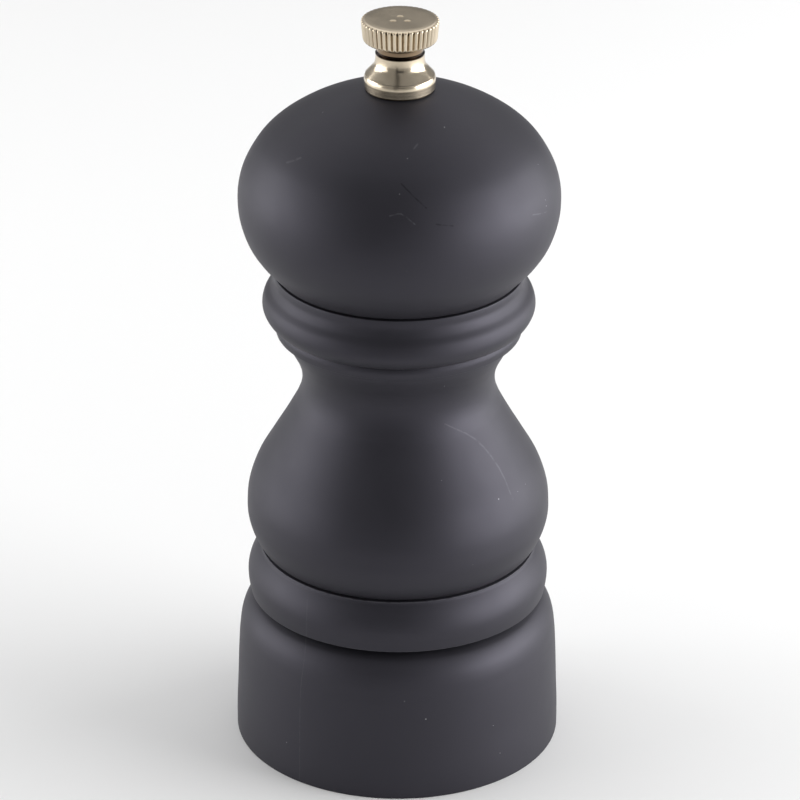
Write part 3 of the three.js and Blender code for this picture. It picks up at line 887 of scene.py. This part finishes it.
def washer(node, inner, material, top=None, edge=0.12, steps=3, segments=96):
    """A flat ring with rounded edges, as wide and high as its CAD node, or up to a lower top."""
    low, high = heights(node)
    high = top or high
    outer = reach(node)
    corners = [(inner, low, edge), (outer, low, edge), (outer, high, edge), (inner, high, edge)]
    return fit(revolve(f"{node}_fine", rounded(corners, steps), segments), node, [material])


def strap(name, path, thickness, half_width, edge=0.12):
    """Sheet metal bent along an (x, z) path. half_width(x) is half its width, and its tips stay blunt where
    that is under 1 mm."""
    points = [Vector((x, 0, z)) for x, z in path]
    across = Vector((0, 1, 0))
    frames = []
    for i, point in enumerate(points):
        along = (points[min(i + 1, len(points) - 1)] - points[max(i - 1, 0)]).normalized()
        frames.append((point, across, along.cross(across), half_width(point.x) - 1))
    section = rounded([(u, v, edge) for u, v in rectangle(1, thickness / 2)], 2)
    return sweep(name, frames, section)


def dense(path, step=0.4):
    """The same path with points at most a step apart."""
    out = [path[0]]
    for (x0, z0), (x1, z1) in zip(path, path[1:]):
        count = max(1, math.ceil(math.hypot(x1 - x0, z1 - z0) / step))
        out += [(x0 + (x1 - x0) * i / count, z0 + (z1 - z0) * i / count) for i in range(1, count + 1)]
    return out


def both_sides(right):
    """A path that runs along the right half and then back along its mirror image."""
    return dense([*right, *[(-x, z) for x, z in reversed(right[:-1])]])


def round_end(from_end, radius, least_square):
    """Half the width of a strap with a half-round end, at a distance from that end."""
    if from_end > radius:
        return radius
    return math.sqrt(max(least_square, radius ** 2 - (radius - from_end) ** 2))


def guide_bracket():
    """A U-shaped strap over the burrs, with an eye for the spindle in its top and a hole in each foot."""
    thickness, leg, end = 0.9, 11.95, reach("guide_bracket")
    low, high = heights("guide_bracket")
    foot, top = low + thickness / 2, high - thickness / 2
    eye_radius = reach("guide_bracket", 1)
    right = rounded([(end, foot), (leg, foot, 1.0), (leg, top, 2.6), (0, top)], 8, closed=False)

    def half_width(x):
        eye = math.sqrt(max(0, eye_radius ** 2 - x * x))
        return max(eye, round_end(end - abs(x), 3.2, 0.3))

    bracket = strap("guide_bracket_fine", both_sides(right), thickness, half_width)
    holes = [rod(EYE_HOLE, 40, 46), *[rod(SCREW_HOLE, 10, 16, x, y) for x, y in BAR_SCREWS]]
    return fit(cut(bracket, holes), "guide_bracket", [ZINC])


def bottom_bar():
    """A strap across the bottom, dished in the middle, with a hole for the bush and one for each screw."""
    thickness, end = 1.1, reach("bottom_bar")
    low, high = heights("bottom_bar")
    end_z, centre_z = high - thickness / 2, low + thickness / 2
    widest = reach("bottom_bar", 1)
    right = rounded([(end, end_z), (12.6, end_z, 1.2), (9.4, centre_z, 1.2), (0, centre_z)], 6, closed=False)

    def half_width(x):
        return round_end(end - abs(x), widest, 0.5)

    bar = strap("bottom_bar_fine", both_sides(right), thickness, half_width)
    holes = [rod(EYE_HOLE, 3, 8), *[rod(SCREW_HOLE, 7, 12, x, y) for x, y in BAR_SCREWS]]
    return fit(cut(bar, holes), "bottom_bar", [ZINC])


def bar_bush():
    low, high = heights("bar_bush")
    inner, sleeve, flange = 2.6, 3.7, reach("bar_bush")
    outline = rounded([
        (inner, low, 0.2),
        (sleeve, low, 0.15),
        (sleeve, high - 0.6),
        (flange, high - 0.6, 0.1),
        (flange, high, 0.2),
        (inner, high, 0.3),
    ], 3)
    return fit(revolve("bar_bush_fine", outline, 96), "bar_bush", [WHITE_NYLON])


def screw(node, shank, head, height, seat):
    """A pan-head wood screw with a cross recess, head down, in its CAD node's place."""
    tip = heights(node)[1]
    face = seat - height
    neck = shank * 0.86
    low = seat + SCREW_NECK
    rows = int((tip - low) / SCREW_PITCH * ROWS_PER_TURN)
    threaded = []
    for i in range(rows + 1):
        z = low + (tip - low) * i / rows
        threaded.append((shank * min(1.0, max(0.05, (tip - z) / SCREW_POINT)), z))
    crown = smooth([
        (head * 0.35, face + 0.01),
        (head * 0.72, face + 0.14),
        (head * 0.94, seat - height * 0.62),
        (head, seat - 0.12),
    ], 4)
    outline = [
        (0, face),
        *crown,
        (head - 0.1, seat),
        (neck, seat),
        (neck, low - 0.2),
        *threaded,
        (0, tip + 0.05),
    ]

    def threads(radius, z, angle):
        if not low < z < tip - 0.4:
            return radius
        phase = (z / SCREW_PITCH - angle / TAU) % 1.0
        return radius * (0.76 + 0.24 * max(0.0, 1 - 2.4 * abs(phase - 0.5)))

    piece = revolve(f"{node}_fine", outline, 40, threads, sharp_angle=40)
    half_width, half_length = 0.28 * head / 2, 1.15 * head / 2
    for half_x, half_y in ((half_width, half_length), (half_length, half_width)):
        slot = extrude("slot", rectangle(half_x, half_y), face - 1, face + SLOT_DEPTH)
        piece = cut(piece, [slot], sharp_angle=40)
    x, y = middle(node)
    piece.location = (x * MM, y * MM, 0)
    return fit(piece, node, [ZINC])


def retaining_clip():
    """A snap ring: a C that opens to one side, and grips its groove at its back and at both ends."""
    outer_radius, grip_radius = 4.6, 2.25
    gap = math.radians(38)
    steps = 48
    outer, inner = [], []
    for i in range(steps + 1):
        angle = gap + (TAU - 2 * gap) * i / steps
        from_back = abs(angle - math.pi)
        relief = 0.5 - 0.5 * math.cos(3 * from_back) if from_back <= 2.2 else 0
        inner_radius = grip_radius + relief
        outer.append((outer_radius * math.cos(angle), outer_radius * math.sin(angle)))
        inner.append((inner_radius * math.cos(angle), inner_radius * math.sin(angle)))
    clip = extrude("retaining_clip_fine", [*outer, *reversed(inner)], *heights("retaining_clip"), bevel=0.1)
    return fit(clip, "retaining_clip", [WIRE])


def drive_plate():
    low, high = heights("drive_plate")
    radius = reach("drive_plate")
    outline = rounded([(0, low), (radius, low, 0.25), (radius, high, 0.25), (0, high)])
    plate = revolve("drive_plate_fine", outline, 128)
    screws = [middle("plate_screw_1"), middle("plate_screw_2")]
    holes = [square_rod(5.4, 70, 80), *[rod(1.3, 74, 80, x, y) for x, y in screws]]
    return fit(cut(plate, holes), "drive_plate", [ZINC])


SPRING_GAP = 0.05
SPRING_LOW = ROTOR_TOP + SPRING_GAP
SPRING_HIGH = heights("spring_washer")[0] - SPRING_GAP
SPRING_RADIUS = 4.6
SPRING_TURNS = 8
WIRE_RADIUS = 0.45
WIRE_SIDES = 12


def grinder_spring():
    """A compression spring with a closed turn at each end, held between the burr and the bracket's washer."""
    steps_per_turn = 40
    low, high = SPRING_LOW + WIRE_RADIUS, SPRING_HIGH - WIRE_RADIUS
    closed = 2 * WIRE_RADIUS + 0.02
    upward = Vector((0, 0, 1))
    frames = []
    for i in range(SPRING_TURNS * steps_per_turn + 1):
        turn = i / steps_per_turn
        if turn < 1:
            z = low + closed * turn
        elif turn > SPRING_TURNS - 1:
            z = high - closed * (SPRING_TURNS - turn)
        else:
            z = low + closed + (high - low - 2 * closed) * (turn - 1) / (SPRING_TURNS - 2)
        angle = TAU * turn
        outward = Vector((math.cos(angle), math.sin(angle), 0))
        frames.append((outward * SPRING_RADIUS + upward * z, outward, upward, 0))
    angles = [TAU * i / WIRE_SIDES for i in range(WIRE_SIDES)]
    section = [(WIRE_RADIUS * math.cos(a), WIRE_RADIUS * math.sin(a)) for a in angles]
    piece = sweep("grinder_spring_fine", frames, section)
    piece.data.materials.append(WIRE)
    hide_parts("grinder_spring")
    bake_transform(piece)


body_shell()
head_shell()
washer("glide_ring", 13.5, BLACK_NYLON, edge=0.1, steps=4, segments=TURNED_SIDES)
adjusting_nut()
washer("nut_washer", 2.9, ZINC, top=HEAD_TOP)
spindle()
rotor_burr()
washer("rotor_washer", 2.8, ZINC)
retaining_clip()
stator_burr()
guide_bracket()
washer("spring_washer", 3.9, ZINC)
grinder_spring()
bottom_bar()
bar_bush()
drive_plate()
for number in (1, 2):
    screw(f"bar_screw_{number}", shank=1.3, head=2.9, height=1.3, seat=9.25)
    screw(f"plate_screw_{number}", shank=1.0, head=2.2, height=1.1, seat=76.25)


# ---- Floor, light and camera ---------------------------------------------------------------------

FLOOR_GAP = 0.02 * MM
FLOOR_SIZE = 4000
LIGHT_DISTANCE = 0.7
MIDDLE = Vector((0, 0, 0.5 * CAD_BOUNDS[1][2]))
SENSOR_WIDTH = 36
LENS = 207
CAMERA_PLACE = (0.00026, -0.6962, 0.4005)
CAMERA_DOWN = 25.97
CAMERA_ROLL = 0.27


def floor():
    n = Nodes("pale_floor")
    n.set(Base_Color=n.mix(n.noise(3), rgb(0.86, 0.86, 0.86), rgb(0.9, 0.9, 0.9)))
    n.set(Roughness=0.9)
    n.set(Specular_IOR_Level=0.1)
    bm = bmesh.new()
    bmesh.ops.create_grid(bm, x_segments=2, y_segments=2, size=FLOOR_SIZE)
    piece = add_object("floor", bm)
    piece.location.z = -FLOOR_GAP
    piece.data.materials.append(n.material)


def direction(azimuth, elevation):
    """A unit vector from the mill. Azimuth 0 is the camera's side and 90 is its right."""
    a, e = math.radians(azimuth), math.radians(elevation)
    return Vector((math.sin(a) * math.cos(e), -math.cos(a) * math.cos(e), math.sin(e)))


def soft_box(name, azimuth, elevation, size, watts):
    data = bpy.data.lights.new(name, "AREA")
    data.shape = "RECTANGLE"
    data.size, data.size_y = size
    data.energy = watts
    light = bpy.data.objects.new(name, data)
    light.location = MIDDLE + LIGHT_DISTANCE * direction(azimuth, elevation)
    light.rotation_euler = (MIDDLE - light.location).to_track_quat("-Z", "Y").to_euler()
    bpy.context.scene.collection.objects.link(light)


def dark_card(name, azimuth, elevation, distance, size):
    """A black card that the polished nut mirrors and the camera doesn't see, like a camera on its stand."""
    n = Nodes(name)
    n.set(Base_Color=rgb(0.02, 0.02, 0.02))
    n.set(Roughness=0.9)
    bm = bmesh.new()
    corners = rectangle(size[0] / 2 / MM, size[1] / 2 / MM)
    bm.faces.new([bm.verts.new((x, y, 0)) for x, y in corners])
    card = add_object(name, bm)
    card.data.materials.append(n.material)
    card.location = MIDDLE + distance * direction(azimuth, elevation)
    card.rotation_euler = (MIDDLE - card.location).to_track_quat("-Z", "Y").to_euler()
    card.visible_camera = False
    card.visible_shadow = False


floor()
soft_box("right_box", 90, 10, (0.9, 0.45), 7.4)
soft_box("right_front_box", 75, 10, (0.6, 0.45), 2.3)
soft_box("left_box", -80, 10, (0.5, 0.45), 1.7)
soft_box("left_back_box", -105, 10, (0.5, 0.45), 2.6)
soft_box("back_box", 180, 60, (1.2, 0.8), 2.6)
dark_card("camera_card", 3, 24, 1.1, (0.56, 0.32))
dark_card("tripod_card", -13, 40, 0.5, (0.09, 1.1))

world = bpy.data.worlds.new("studio")
world.use_nodes = True
world.node_tree.nodes["Background"].inputs["Color"].default_value = (0.33, 0.33, 0.33, 1)
world.node_tree.nodes["Background"].inputs["Strength"].default_value = 1.0
bpy.context.scene.world = world

camera_data = bpy.data.cameras.new("camera")
camera_data.sensor_width = SENSOR_WIDTH
camera_data.lens = LENS
camera = bpy.data.objects.new("camera", camera_data)
camera.location = CAMERA_PLACE
camera.rotation_euler = (math.radians(90 - CAMERA_DOWN), 0, 0)
camera.rotation_euler.rotate_axis("Z", math.radians(CAMERA_ROLL))
bpy.context.scene.collection.objects.link(camera)
bpy.context.scene.camera = camera
bpy.context.scene.view_settings.view_transform = "Standard"
bpy.context.scene.view_settings.look = "None"
